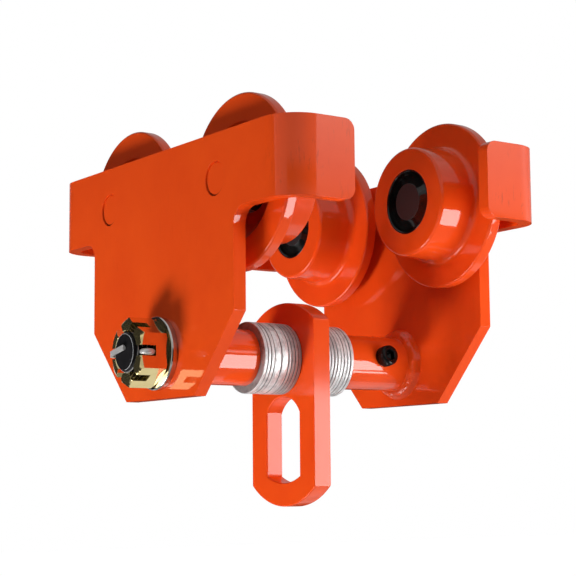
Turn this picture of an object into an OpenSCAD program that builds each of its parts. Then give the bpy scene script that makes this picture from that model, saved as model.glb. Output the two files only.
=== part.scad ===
// Manual beam trolley: two bent side plates hang on four flanged wheels, which roll on the
// lower flange of an I-beam, and a shaft through the plates carries the hanger for the load.
// X runs along the beam, Y along the load shaft, Z up. The origin is mid-way between the
// wheels, on the surface that the treads roll on.

/* [Side plates] */
// Sheet thickness of the side plates
plate_t = 8; // [6:0.5:9]
// Length of the trolley over the bent ends
plate_len = 268; // [262:1:290]
// Height of the upper band, which bends round the wheels at both ends
band_h = 45.5; // [42:0.5:52]
// Height of the plate top above the wheel axles
top_over_axle = 26.5; // [24:0.5:32]
// Outside radius of the bent ends
bend_r = 21; // [16:0.5:22]
// Length of a bent end, from the outer face of the plate to its tip
bent_end_len = 46; // [40:0.5:54]
// Corner radius at the tip of a bent end
tip_r = 6.5; // [3:0.5:10]
// Half of the width of the web below the band
web_half = 82; // [76:0.5:86]
// Half of the width of the web at its lower edge
foot_half = 39.5; // [34:0.5:46]
// Depth of the web below the shaft centre
foot_drop = 27; // [25:0.5:34]
// Height of the web's corner cuts
cut_h = 45.5; // [36:0.5:52]
// Radius of the fillets where the web meets the band
web_fillet = 10; // [4:0.5:14]

/* [Load shaft] */
// Diameter of the load shaft and of its thread
shaft_d = 24; // [20:0.5:26]
// Distance from the wheel axles down to the load shaft
shaft_drop = 95.5; // [94:0.5:110]
// Length of the end chamfer of the shaft
shaft_chamfer = 1.2; // [0.6:0.1:2]
// How far the plain end of the shaft stands out of the far plate
shaft_tail = 2; // [1:0.5:5]

/* [Sleeves] */
// Outside diameter of the sleeves
sleeve_d = 35; // [34:0.5:38]
// Length of a sleeve, from its plate to the spacers
sleeve_len = 53; // [48:0.5:60]
// Leg of the weld between a sleeve and its plate
weld_leg = 5.5; // [3:0.5:7]

/* [Spacers] */
// Outside diameter of the spacers
spacer_d = 44.4; // [42:0.2:48]
// Thickness of a thin spacer
thin_t = 2.5; // [2:0.1:3]
// Thickness of a thick spacer
thick_t = 5; // [4:0.1:6]
// Bevel at the edges of a spacer
spacer_bevel = 0.35; // [0.2:0.05:0.5]

/* [Nut] */
// Width across the flats of the castle nut
nut_af = 36; // [34:0.5:40]
// Height of the castle nut
nut_h = 18.7; // [17:0.1:22]
// Width of the slots in the nut
nut_slot_w = 6.2; // [5.5:0.1:6.6]
// Depth of the slots in the nut
nut_slot_h = 10.2; // [9.6:0.1:11]
// Radius of the flat end of the nut, inside the round bevel of its corners
nut_crown_r = 16.5; // [15.5:0.1:17.5]
// Depth of the bevel where the thread enters the nut
nut_mouth = 1; // [0.5:0.1:1.5]
// How far the shaft stands out of the nut
shaft_proud = 1; // [0.5:0.1:3]
// Outside diameter of the nut washer
washer_d = 44; // [43:0.5:48]
// Thickness of the nut washer
washer_t = 4; // [3:0.5:5]
// Bevel at its outer edge
washer_bevel = 0.8; // [0.3:0.1:1.2]

/* [Split pin] */
// Diameter of the two closed legs of the split pin
pin_d = 3.5; // [3:0.1:4]
// Diameter of the hole in the shaft that the pin lies in
pin_hole_d = 5.2; // [4.5:0.1:5.4]
// Outside diameter of the eye of the pin
pin_eye_d = 9; // [8:0.1:9.4]
// Inside radius of the bends of its legs
pin_bend_r = 0.6; // [0.4:0.1:1]
// Length of the leg that lies over the end of the shaft
pin_front_leg = 15; // [10:0.5:16]
// Tilt of that leg
pin_leg_tilt = 11; // [0:1:20]
// Length of the leg that lies along the nut
pin_back_leg = 6.5; // [4:0.5:9]

/* [Stopper screw] */
// Diameter of the stopper screw's thread
screw_d = 8; // [6:0.5:8]
// Diameter of its head
screw_head_d = 13; // [12:0.5:14]
// Height of its head
screw_head_h = 8; // [6:0.5:9]
// Width across the flats of its hexagon socket
screw_socket_af = 6; // [5:0.5:7]
// Distance from the far plate's inner face to the screw
screw_from_plate = 25.2; // [18:0.2:30]
// Angle of the screw above the travel direction
screw_angle = 9.5; // [0:0.5:20]
// How deep the tip of the screw goes into the shaft
screw_bite = 5; // [3:0.5:7]
// Bevel at the edge of its head
screw_bevel = 0.8; // [0.5:0.1:1.2]

/* [Hanger] */
// Thickness of the hanger plate
hanger_t = 12; // [10:0.5:16]
// Half of the width of the hanger plate
hanger_half = 34; // [31:0.5:38]
// Radius of its rounded ends
hanger_end_r = 53; // [48:0.5:60]
// Height of its top above the shaft centre
hanger_top = 35.3; // [30:0.1:38]
// Depth of its lower end below the shaft centre
hanger_bottom = 91.3; // [88:0.1:100]
// Half of the width of the hook slot
slot_half = 17.8; // [14:0.1:19]
// Depth of the slot's top below the shaft centre
slot_top = 23.2; // [20:0.1:26]
// Radius of the slot's rounded top
slot_top_r = 20.5; // [19.5:0.1:24]
// Height of the bar below the slot
slot_bar_h = 14.5; // [12:0.1:18]

/* [Wheels] */
// Half of the distance between the two axles of a plate
axle_x = 62.3; // [60:0.1:66]
// Radius of the tread half-way along it
tread_r = 34.5; // [33.5:0.1:36]
// Taper of the tread, as rise over length
tread_taper = 0.065; // [0.03:0.005:0.1]
// Diameter over the wheel's flange
flange_d = 103.6; // [100:0.2:108]
// Width of the wheel's flange
flange_w = 8; // [6:0.5:9]
// Width of the whole wheel
wheel_w = 33.5; // [31:0.5:36]
// Gap between the wheel and the side plate
wheel_gap = 7.75; // [6:0.25:9]
// Radius where the tread rounds into the wheel's face
tread_edge_r = 2.4; // [1.5:0.1:4]
// Radius of the fillet between the tread and the flange
flange_fillet_r = 4; // [2:0.1:4.5]
// Bevel at the edges of the flange
flange_bevel = 1; // [0.5:0.1:1.5]
// Radius of the dish in the back of the wheel
dish_r = 35; // [33:0.5:38]
// Depth of the dish
dish_depth = 10; // [7:0.5:11]
// Radius of the hub face in the dish
hub_r = 24; // [22:0.5:26]

/* [Wheel bearings] */
// Outside diameter of the ball bearing, which is the wheel's bore
bearing_od = 40; // [38:0.5:42]
// Bore of the ball bearing, which is the axle's journal
bearing_bore = 17; // [15:0.5:18]
// Width of the ball bearing
bearing_w = 12; // [11:0.5:13]
// Diameter of the bearing balls
ball_d = 6.75; // [6.2:0.05:7]
// Number of balls in a bearing
ball_count = 8; // [6:1:8]
// Depth of the bearing behind the wheel's face
bearing_inset = 7.5; // [7:0.25:9]

// Thickness of the bearing's seals
seal_t = 0.9; // [0.6:0.1:1]
// Thickness of the ball cage
cage_t = 1.8; // [1.2:0.1:2]

/* [Retaining rings] */
// Thickness of the ring on the axle
clip_t = 1; // [0.8:0.1:1.2]
// Depth of its groove in the axle
clip_depth = 0.4; // [0.3:0.05:0.6]
// Thickness of the ring in the wheel's bore
ring_t = 1.75; // [1.2:0.05:2]
// Depth of its groove in the bore
ring_depth = 1.25; // [0.8:0.05:1.6]

/* [Axles] */
// Diameter of the axle end that is pressed into the plate
spigot_d = 20; // [17:0.5:22]
// How far that end lies below the plate's outer face
spigot_sink = 0.8; // [0.4:0.1:1.5]
// Bevel at its edge
spigot_bevel = 0.6; // [0.3:0.1:1]
// Diameter of the collar against the plate
collar_d = 30; // [26:0.5:33]
// Thickness of that collar
collar_t = 3.5; // [2:0.5:5]
// Diameter of the axle's shoulder behind the bearing
shoulder_d = 23; // [22:0.5:25]

/* [Dust caps] */
// Radius of the flat centre of a cap
cap_disc_r = 11.7; // [10:0.1:13]
// Depth of the ring groove in a cap
cap_groove_h = 3.9; // [3:0.1:4.2]
// Wall of a cap
cap_wall = 1.2; // [0.8:0.1:1.4]

/* [Fits] */
// Radial clearance of a part that is pressed or screwed in
fit_gap = 0.02; // [0.01:0.01:0.04]
// Radial clearance of the hanger on the shaft
run_gap = 0.08; // [0.04:0.01:0.1]
// Radial clearance of a part that is slipped over the shaft
slip_gap = 0.25; // [0.1:0.05:0.5]
// Clearance at each side of the hanger plate, and in ring grooves
side_gap = 0.2; // [0.1:0.05:0.4]
// Clearance between two spacers of a stack
stack_gap = 0.04; // [0.02:0.01:0.08]

/* [Hidden] */
$fn = 96;
// Number of steps in a profile's rounded corner
ARC_STEPS = 8;
// A cut runs this far past the surface that it opens
OVER = 1;

// Spacers on each side of the hanger, counted from the sleeve: 1 is thin and 2 is thick
NEAR_STACK = [1, 1, 1, 2, 2, 1, 1, 1, 1];
FAR_STACK = [1, 1, 1, 1, 1, 1, 1, 2, 2];
function spacer_t(kind) = kind == 2 ? thick_t : thin_t;
function stack_to(stack, i) = i == 0 ? 0 : stack_to(stack, i - 1) + spacer_t(stack[i - 1]);

// Distances from the middle plane, along Y
spacers_in = hanger_t / 2 + side_gap;
spacers_out = spacers_in + stack_to(NEAR_STACK, len(NEAR_STACK));
plate_in = spacers_out + sleeve_len;
plate_out = plate_in + plate_t;
wheel_back = plate_in - wheel_gap;
wheel_face = wheel_back - wheel_w;
flange_front = wheel_back - flange_w;
tread_mid = (wheel_face + flange_front) / 2;
hub_back = wheel_back - dish_depth;
bearing_front = wheel_face + bearing_inset;
bearing_back = bearing_front + bearing_w;
bearing_mid = (bearing_front + bearing_back) / 2;
nut_back = plate_out + washer_t;
nut_end = nut_back + nut_h;
shaft_end = nut_end + shaft_proud;
pin_at = nut_end - nut_slot_h / 2;
screw_at = plate_in - screw_from_plate;

// Heights, along Z
axle_z = tread_r;
shaft_z = axle_z - shaft_drop;
band_top = axle_z + top_over_axle;
band_bottom = band_top - band_h;
foot_z = shaft_z - foot_drop;
cut_z = foot_z + cut_h;

// Radii
shaft_r = shaft_d / 2;
sleeve_r = sleeve_d / 2;
bore_r = bearing_od / 2;
journal_r = bearing_bore / 2;
ball_r = ball_d / 2;
pin_r = pin_d / 2;
race_mid_r = (bore_r + journal_r) / 2;
flat_half = plate_len / 2 - bend_r;

// The split pin rests at the bottom of its hole, and its legs part this far from the middle
pin_drop = pin_hole_d / 2 - pin_r - run_gap;
front_bend = shaft_r + 0.6;

CORNERS = ["near_left", "near_right", "far_left", "far_right"];
WHEEL_PARTS = ["wheel", "axle", "outer_race", "inner_race", "ball_set", "ball_cage",
               "bearing_seals", "axle_circlip", "bore_circlip", "dust_cap"];

PAINT = [0.85, 0.28, 0.09];
ZINC = [0.78, 0.79, 0.81];
STEEL = [0.62, 0.63, 0.65];
BLACK = [0.08, 0.08, 0.09];

// Points of an arc about c with radius r, from angle a to angle b
function arc(c, r, a, b) =
    [for (i = [0:ARC_STEPS]) let (t = a + (b - a) * i / ARC_STEPS)
        [c[0] + r * cos(t), c[1] + r * sin(t)]];

// Turns a profile of (radius, distance from the middle plane) round the Y axis
module turned() { rotate([-90, 0, 0]) rotate_extrude() children(); }

// Puts what is drawn on the far side (+Y) onto the near side (-Y) instead
module on_side(s) {
    if (s < 0) mirror([0, 1, 0]) children();
    else children();
}

// Draws its children in the +X half and mirrored in the -X half
module both_ends() {
    children();
    mirror([1, 0, 0]) children();
}

// A bore along Y, from y0 to y1
module bore_y(r, y0, y1) { translate([0, y0, 0]) rotate([-90, 0, 0]) cylinder(r = r, h = y1 - y0); }

// Concave corner of radius r, at the origin, in the +X -Y quarter
module inner_corner(r) {
    difference() {
        translate([-OVER, -r]) square([r + OVER, r + OVER]);
        translate([r, -r]) circle(r);
    }
}

// Side plate, drawn on the far side

module web_outline() {
    difference() {
        union() {
            translate([-flat_half, band_bottom]) square([2 * flat_half, band_h]);
            polygon([[-web_half, band_bottom + OVER], [-web_half, cut_z], [-foot_half, foot_z],
                     [foot_half, foot_z], [web_half, cut_z], [web_half, band_bottom + OVER]]);
            both_ends() translate([web_half, band_bottom]) inner_corner(web_fillet);
        }
        both_ends() translate([axle_x, axle_z]) circle(spigot_d / 2);
        translate([0, shaft_z]) circle(shaft_r + slip_gap);
    }
}

// Bent end past the bend: a strip along Y with two rounded corners at its tip
module tip_outline() {
    tip_len = bent_end_len - bend_r;
    difference() {
        square([tip_len, band_h]);
        for (top = [0, 1]) translate([0, top * band_h]) mirror([0, top, 0]) difference() {
            translate([-OVER, -OVER]) square(tip_r + OVER);
            translate([tip_r, tip_r]) circle(tip_r);
        }
    }
}

module side_plate() {
    rotate([90, 0, 0]) translate([0, 0, -plate_out]) linear_extrude(plate_t) web_outline();
    both_ends() {
        translate([flat_half, plate_out - bend_r, band_bottom])
            rotate_extrude(angle = 90) translate([bend_r - plate_t, 0]) square([plate_t, band_h]);
        translate([plate_len / 2 - plate_t, plate_out - bent_end_len, band_bottom])
            rotate([90, 0, 90]) linear_extrude(plate_t) tip_outline();
    }
}

module near_side_plate() { color(PAINT) on_side(-1) side_plate(); }
module far_side_plate() { color(PAINT) on_side(1) side_plate(); }

// Sleeve, welded to its plate all round

module sleeve() {
    bead_r = weld_leg * 1.25;
    translate([0, 0, shaft_z]) turned() union() {
        translate([shaft_r + slip_gap, spacers_out]) square([sleeve_r - shaft_r - slip_gap, sleeve_len]);
        polygon(concat([[sleeve_r - OVER, plate_in], [sleeve_r - OVER, plate_in - weld_leg]],
                       bead_points(bead_r)));
    }
}

// The bead's face bulges: an arc of radius r through both toes of the weld
function bead_points(r) =
    let (half = weld_leg / sqrt(2), back = sqrt(r * r - half * half),
         mid = [sleeve_r + weld_leg / 2, plate_in - weld_leg / 2],
         c = [mid[0] - back * cos(-45), mid[1] - back * sin(-45)],
         spread = asin(half / r))
    arc(c, r, -45 - spread, -45 + spread);

// Places the stopper screw: its own Z axis runs outwards from the shaft's centre line
module at_screw() { translate([0, screw_at, shaft_z]) rotate([0, 90 - screw_angle, 0]) children(); }

// The screw's head seats on a flat that is spot-faced into the sleeve
screw_seat = sqrt(pow(sleeve_r, 2) - pow(screw_head_d / 2, 2)) + 0.4;
screw_tip = shaft_r - screw_bite;

module near_sleeve() { color(PAINT) on_side(-1) sleeve(); }

module far_sleeve() {
    color(PAINT) difference() {
        sleeve();
        at_screw() {
            translate([0, 0, shaft_r - OVER]) cylinder(d = screw_d + 2 * fit_gap, h = sleeve_r);
            translate([0, 0, screw_seat]) cylinder(d = screw_head_d + 1, h = sleeve_r);
        }
    }
}

// Load shaft: threaded and cross-drilled at the near end, held by the screw at the far end

module load_shaft() {
    tail = plate_out + shaft_tail;
    end_r = shaft_r - shaft_chamfer;
    color(BLACK) difference() {
        translate([0, 0, shaft_z]) turned()
            polygon([[0, -shaft_end], [end_r, -shaft_end], [shaft_r, -shaft_end + shaft_chamfer],
                     [shaft_r, tail - shaft_chamfer], [end_r, tail], [0, tail]]);
        translate([-shaft_d, -pin_at, shaft_z]) rotate([0, 90, 0]) cylinder(d = pin_hole_d, h = 2 * shaft_d);
        at_screw() translate([0, 0, screw_tip - 0.5]) cylinder(d = screw_d + 0.2, h = shaft_d);
    }
}

module stopper_screw() {
    head_r = screw_head_d / 2;
    top = screw_seat + screw_head_h;
    color(BLACK) at_screw() difference() {
        rotate_extrude() polygon([[0, screw_tip], [screw_d / 2, screw_tip], [screw_d / 2, screw_seat],
                                  [head_r, screw_seat], [head_r, top - screw_bevel], [head_r - screw_bevel, top],
                                  [0, top]]);
        translate([0, 0, top - screw_head_h / 2])
            cylinder(r = screw_socket_af / sqrt(3), h = screw_head_h, $fn = 6);
    }
}

// Nut, washer and split pin, drawn on the far side and put on the near side

module nut_washer() {
    r0 = shaft_r + slip_gap;
    r1 = washer_d / 2;
    color(ZINC) on_side(-1) translate([0, 0, shaft_z]) turned()
        polygon([[r0, plate_out], [r1, plate_out], [r1, nut_back - washer_bevel], [r1 - washer_bevel, nut_back],
                 [r0, nut_back]]);
}

module castle_nut() {
    corner_r = nut_af / sqrt(3);
    r = nut_af / 2;
    back_bevel = (corner_r - r) * tan(30);
    crown_bevel = (corner_r - nut_crown_r) * tan(30);
    color(ZINC) on_side(-1) translate([0, 0, shaft_z]) difference() {
        intersection() {
            translate([0, nut_back, 0]) rotate([-90, 0, 0]) rotate(30) cylinder(r = corner_r, h = nut_h, $fn = 6);
            turned() polygon([[0, nut_back], [r, nut_back], [corner_r, nut_back + back_bevel],
                              [corner_r, nut_end - crown_bevel], [nut_crown_r, nut_end], [0, nut_end]]);
        }
        bore_y(shaft_r + fit_gap, nut_back - OVER, nut_end + OVER);
        turned() polygon([[0, nut_end - nut_mouth], [shaft_r, nut_end - nut_mouth],
                          [shaft_r + nut_mouth + OVER, nut_end + OVER],
                          [0, nut_end + OVER]]);
        for (i = [0:2]) rotate([0, i * 60, 0]) translate([-nut_af, nut_end - nut_slot_h, -nut_slot_w / 2])
            cube([2 * nut_af, nut_slot_h + OVER, nut_slot_w]);
    }
}

// Split pin: half-round wire with its eye in one slot, its legs parted at the other slot.
// It is drawn about its own centre, with its legs towards -X and the shaft's end towards +Y.

// Half-round section of the wire, with its flat side on the Y axis
module wire() {
    intersection() {
        circle(pin_r, $fn = 32);
        translate([0, -pin_d]) square([pin_d, 2 * pin_d]);
    }
}

// Quarter bend about the origin, with the round side of the wire inside
module wire_bend() {
    rotate_extrude(angle = 90) translate([pin_bend_r + pin_r, 0]) mirror([1, 0]) wire();
}

// Straight stretch of wire along +Y, its round side towards +X and touching the plane x = 0
module wire_run(length) {
    translate([-pin_r, 0, 0]) rotate([-90, 0, 0]) linear_extrude(length) wire();
}

// The leg that turns out of the slot and then over the end of the shaft
module front_leg() {
    rise = shaft_end + side_gap - pin_at - pin_r - 2 * pin_bend_r;
    translate([-front_bend, pin_r + pin_bend_r, 0]) {
        rotate(180) wire_bend();
        translate([-pin_bend_r - pin_r / 2, 0, 0]) rotate([0, -pin_leg_tilt, 0])
            translate([pin_r / 2, 0, 0]) {
                wire_run(rise);
                translate([pin_bend_r, rise, 0]) {
                    rotate(90) wire_bend();
                    translate([0, pin_bend_r, 0]) rotate(-90) wire_run(pin_front_leg);
                }
            }
    }
}

// The leg that turns back along the flat of the nut
module back_leg() {
    bend_x = nut_af / 2 + side_gap - pin_bend_r;
    rotate(90) mirror([1, 0, 0]) translate([0, front_bend - OVER, 0]) translate([pin_r, 0, 0])
        wire_run(bend_x - front_bend + OVER);
    translate([-bend_x, -pin_r - pin_bend_r, 0]) {
        rotate(90) wire_bend();
        translate([-pin_bend_r, 0, 0]) mirror([0, 1, 0]) wire_run(pin_back_leg);
    }
}

module pin_eye() {
    eye_x = shaft_r + side_gap + pin_eye_d / 2;
    translate([eye_x, 0, 0]) rotate_extrude() translate([pin_eye_d / 2 - pin_r, 0]) wire();
    shank_end = eye_x - pin_eye_d / 2 + pin_r / 2;
    translate([-front_bend, 0, 0]) rotate([0, 90, 0]) cylinder(r = pin_r, h = front_bend + shank_end, $fn = 32);
}

module split_pin() {
    color(ZINC) on_side(-1) translate([0, pin_at, shaft_z - pin_drop]) {
        pin_eye();
        front_leg();
        back_leg();
    }
}

// Spacers: stacks of plain washers, separate solids in one node

module spacer_stack(stack) {
    r0 = shaft_r + slip_gap;
    r1 = spacer_d / 2;
    for (i = [0:len(stack) - 1]) {
        y1 = spacers_out - stack_to(stack, i) - stack_gap / 2;
        y0 = spacers_out - stack_to(stack, i + 1) + stack_gap / 2;
        translate([0, 0, shaft_z]) turned()
            polygon([[r0, y0], [r1 - spacer_bevel, y0], [r1, y0 + spacer_bevel],
                     [r1, y1 - spacer_bevel], [r1 - spacer_bevel, y1], [r0, y1]]);
    }
}

module near_spacers() { color(ZINC) on_side(-1) spacer_stack(NEAR_STACK); }
module far_spacers() { color(ZINC) on_side(1) spacer_stack(FAR_STACK); }

// Hanger plate: swings on the shaft, with a slot for the hoist's hook

module strip(half, low, high) { translate([-half, low]) square([2 * half, high - low]); }

module hanger_outline() {
    top_c = hanger_top - hanger_end_r;
    low_c = hanger_end_r - hanger_bottom;
    intersection() {
        strip(hanger_half, -hanger_bottom, hanger_top);
        union() {
            translate([0, top_c]) circle(hanger_end_r);
            translate([0, low_c]) circle(hanger_end_r);
        }
    }
}

module slot_outline() {
    low_c = hanger_end_r - hanger_bottom;
    top_c = -slot_top - slot_top_r;
    intersection() {
        strip(slot_half, -hanger_bottom, 0);
        translate([0, low_c]) circle(hanger_end_r - slot_bar_h);
        union() {
            translate([0, top_c]) circle(slot_top_r);
            strip(slot_half, -hanger_bottom, top_c);
        }
    }
}

module hanger_plate() {
    color(PAINT) translate([0, hanger_t / 2, shaft_z]) rotate([90, 0, 0]) linear_extrude(hanger_t)
        difference() {
            hanger_outline();
            slot_outline();
            circle(shaft_r + run_gap);
        }
}

// Wheel and what is in it, drawn at a far axle and put in its corner

module at_corner(i) {
    x_sign = i % 2 == 0 ? -1 : 1;
    y_sign = i < 2 ? -1 : 1;
    translate([x_sign * axle_x, 0, axle_z]) on_side(y_sign) children();
}

function tread_at(s) = tread_r + (s - tread_mid) * tread_taper;

module wheel() {
    front_r = tread_at(wheel_face + tread_edge_r);
    root_r = tread_at(flange_front - flange_fillet_r);
    rim_r = flange_d / 2;
    lip_r = bore_r - 3;
    color(PAINT) turned() polygon(concat(
        [[bore_r, wheel_face]],
        arc([front_r - tread_edge_r, wheel_face + tread_edge_r], tread_edge_r, -90, 0),
        arc([root_r + flange_fillet_r, flange_front - flange_fillet_r], flange_fillet_r, 180, 90),
        [[rim_r - flange_bevel, flange_front], [rim_r, flange_front + flange_bevel],
         [rim_r, wheel_back - flange_bevel], [rim_r - flange_bevel, wheel_back],
         [dish_r, wheel_back], [hub_r, hub_back], [lip_r, hub_back], [lip_r, bearing_back],
         [bore_r, bearing_back], [bore_r, bearing_front],
         [bore_r + ring_depth, bearing_front], [bore_r + ring_depth, bearing_front - ring_t - side_gap],
         [bore_r, bearing_front - ring_t - side_gap]]));
}

// Axle: pressed into the plate, with a collar, a shoulder, a journal and a ring groove
module axle() {
    spigot_r = spigot_d / 2 - fit_gap;
    spigot_end = plate_out - spigot_sink;
    jr = journal_r - fit_gap;
    groove_r = jr - clip_depth;
    clip_front = bearing_front - clip_t - side_gap;
    tip = clip_front - 1.2;
    color(PAINT) turned() polygon([
        [0, tip], [jr - 0.5, tip], [jr, tip + 0.5], [jr, clip_front], [groove_r, clip_front],
        [groove_r, bearing_front], [jr, bearing_front], [jr, bearing_back],
        [shoulder_d / 2, bearing_back], [shoulder_d / 2, plate_in - collar_t],
        [collar_d / 2, plate_in - collar_t], [collar_d / 2, plate_in], [spigot_r, plate_in],
        [spigot_r, spigot_end - spigot_bevel], [spigot_r - spigot_bevel, spigot_end], [0, spigot_end]]);
}

// Section of a bearing race between two radii, with the groove that the balls run in
module race_section(r0, r1) {
    difference() {
        translate([r0, bearing_front]) square([r1 - r0, bearing_w]);
        translate([race_mid_r, bearing_mid]) circle(ball_r + run_gap);
    }
}

// The races take up to this radius from the outside and from the bore
race_wall = (bore_r - journal_r - ball_d * 0.45) / 2;

module outer_race() { color(STEEL) turned() race_section(bore_r - fit_gap - race_wall, bore_r - fit_gap); }
module inner_race() { color(STEEL) turned() race_section(journal_r, journal_r + race_wall); }

module at_balls() {
    for (i = [0:ball_count - 1]) rotate([0, i * 360 / ball_count, 0])
        translate([race_mid_r, bearing_mid, 0]) children();
}

module ball_set() { color(STEEL) at_balls() sphere(ball_r, $fn = 32); }

// Cage: a ring with a round pocket for each ball, turning with them
module ball_cage() {
    half_w = ball_r + 0.9;
    color(STEEL) difference() {
        turned() translate([race_mid_r - cage_t / 2, bearing_mid - half_w]) square([cage_t, 2 * half_w]);
        at_balls() rotate([0, 90, 0]) cylinder(r = ball_r + run_gap, h = 2 * cage_t, center = true);
    }
}

module bearing_seals() {
    r0 = journal_r + race_wall + run_gap;
    r1 = bore_r - fit_gap - race_wall - fit_gap;
    color(BLACK) turned() for (s = [bearing_front + 0.1, bearing_back - 0.1 - seal_t])
        translate([r0, s]) square([r1 - r0, seal_t]);
}

// Retaining rings, open at the bottom, with an eye at each end for the pliers

module circlip(r0, r1, t, s, lug_at) {
    open = 22;
    lug_r = 2;
    translate([0, s, 0]) rotate([90, 0, 0]) mirror([0, 0, 1]) linear_extrude(t) difference() {
        union() {
            difference() {
                circle(r1);
                circle(r0);
                polygon([[0, 0], [-2 * r1 * tan(open / 2), -2 * r1], [2 * r1 * tan(open / 2), -2 * r1]]);
            }
            for (e = [-1, 1]) rotate(e * (open / 2 + 5)) translate([0, -lug_at]) circle(lug_r, $fn = 32);
        }
        for (e = [-1, 1]) rotate(e * (open / 2 + 5)) translate([0, -lug_at]) circle(0.8, $fn = 24);
    }
}

module axle_circlip() {
    r0 = journal_r - clip_depth;
    color(BLACK) circlip(r0, r0 + 2.2, clip_t, bearing_front - clip_t - side_gap / 2, r0 + 2.2);
}

module bore_circlip() {
    r1 = bore_r + ring_depth - fit_gap;
    color(BLACK) circlip(r1 - 3, r1, ring_t, bearing_front - ring_t - side_gap / 2, r1 - 3.4);
}

// Dust cap: a raised centre inside a ring groove, pressed into the mouth of the bore
module dust_cap() {
    lip = 0.3;
    rim = 1.2;
    disc_s = wheel_face + 0.8;
    r1 = bore_r - fit_gap;
    groove_s = wheel_face + lip + cap_groove_h;
    foot_r = r1 - rim - 1.2;
    color(BLACK) turned() polygon([
        [0, disc_s], [cap_disc_r - 0.4, disc_s], [cap_disc_r, disc_s + 0.3],
        [foot_r, groove_s], [r1 - rim, groove_s], [r1 - rim, wheel_face + lip + 0.4],
        [r1 - rim + 0.4, wheel_face + lip], [r1 - 0.3, wheel_face + lip], [r1, wheel_face + lip + 0.3],
        [r1, groove_s + cap_wall], [foot_r - cap_wall / 2, groove_s + cap_wall],
        [cap_disc_r - cap_wall / 2, disc_s + cap_wall + 0.3], [0, disc_s + cap_wall]]);
}

near_side_plate();
far_side_plate();
near_sleeve();
far_sleeve();
load_shaft();
stopper_screw();
nut_washer();
castle_nut();
split_pin();
near_spacers();
far_spacers();
hanger_plate();
for (i = [0:3]) at_corner(i) {
    wheel();
    axle();
    outer_race();
    inner_race();
    ball_set();
    ball_cage();
    bearing_seals();
    axle_circlip();
    bore_circlip();
    dust_cap();
}
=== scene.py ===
"""Manual beam trolley: a push trolley that hangs on the lower flange of an I-beam.

Two bent side plates carry two flanged wheels each. A shaft with sleeves and spacers joins the
plates, and a slotted plate for the hoist's hook swings on it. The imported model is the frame
that everything here is fitted to. Lengths are in metres.
"""
import math

import bmesh
import bpy
from mathutils import Matrix, Vector


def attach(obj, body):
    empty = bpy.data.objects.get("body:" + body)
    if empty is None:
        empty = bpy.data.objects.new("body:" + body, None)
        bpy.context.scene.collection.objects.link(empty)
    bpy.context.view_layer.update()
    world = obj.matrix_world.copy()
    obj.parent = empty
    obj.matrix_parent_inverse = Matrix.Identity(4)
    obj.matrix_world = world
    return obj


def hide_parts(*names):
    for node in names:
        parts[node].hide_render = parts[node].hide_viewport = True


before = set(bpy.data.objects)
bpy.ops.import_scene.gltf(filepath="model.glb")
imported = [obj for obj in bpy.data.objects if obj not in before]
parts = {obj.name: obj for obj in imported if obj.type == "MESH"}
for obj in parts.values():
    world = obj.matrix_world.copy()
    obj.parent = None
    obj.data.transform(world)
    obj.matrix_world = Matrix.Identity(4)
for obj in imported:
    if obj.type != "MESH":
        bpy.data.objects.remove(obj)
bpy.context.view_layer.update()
scene = bpy.context.scene
scene.view_settings.view_transform = "Standard"

# The view. The trolley is seen from in front of its right-hand end and from the side of the nut,
# with the lens a little below the load shaft and looking slightly up.
MM = 0.001
lens_place = Vector((828.77, -577.41, -140.93)) * MM
lens_ahead = Vector((-0.8147, 0.5666, 0.1231)).normalized()
lens_roll = math.radians(-0.47)
level_right = lens_ahead.cross(Vector((0, 0, 1))).normalized()
level_up = level_right.cross(lens_ahead)
lens_right = math.cos(lens_roll) * level_right + math.sin(lens_roll) * level_up
lens_up = lens_right.cross(lens_ahead)
camera_data = bpy.data.cameras.new("camera")
camera_data.lens = 100.83
camera_data.sensor_width = 36.0
camera = bpy.data.objects.new("camera", camera_data)
camera.matrix_world = Matrix(
    (
        (lens_right.x, lens_up.x, -lens_ahead.x, lens_place.x),
        (lens_right.y, lens_up.y, -lens_ahead.y, lens_place.y),
        (lens_right.z, lens_up.z, -lens_ahead.z, lens_place.z),
        (0, 0, 0, 1),
    )
)
scene.collection.objects.link(camera)
scene.camera = camera

# Side plates. Each is one blank of 8 mm sheet, cut by laser and bent inwards at both ends, so
# that the ends meet the stops on the beam before the wheels do. One coat of orange stoving
# enamel covers them: a faint orange-peel skin with a little dust and a few handling marks.
ENAMEL = (0.86, 0.082, 0.008, 1)
ENAMEL_DEEP = (0.74, 0.052, 0.005, 1)
ENAMEL_GRIME = (0.34, 0.045, 0.014, 1)
ENAMEL_IOR = 1.15
PEEL_DEPTH = 0.12 * MM
PLATE_EDGE = 0.5 * MM
PLATE_COAT = 0.8
DULLED_COAT = 0.12
# Only the outer face of the far plate lies further out along Y than this
FAR_FACE = 94.5 * MM
# The bent ends take most of the rubs: from where their bends start to their outer faces
BEND_FROM = 108 * MM
BEND_TO = 124 * MM


def new_group(name, inputs, outputs):
    """Makes a shader node group with the given sockets, and returns it with its two end nodes."""
    group = bpy.data.node_groups.new(name, "ShaderNodeTree")
    for label, value in inputs:
        socket = group.interface.new_socket(label, in_out="INPUT", socket_type="NodeSocketFloat")
        socket.default_value = value
    for label, kind in outputs:
        group.interface.new_socket(label, in_out="OUTPUT", socket_type=kind)
    return group, group.nodes.new("NodeGroupInput"), group.nodes.new("NodeGroupOutput")


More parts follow.
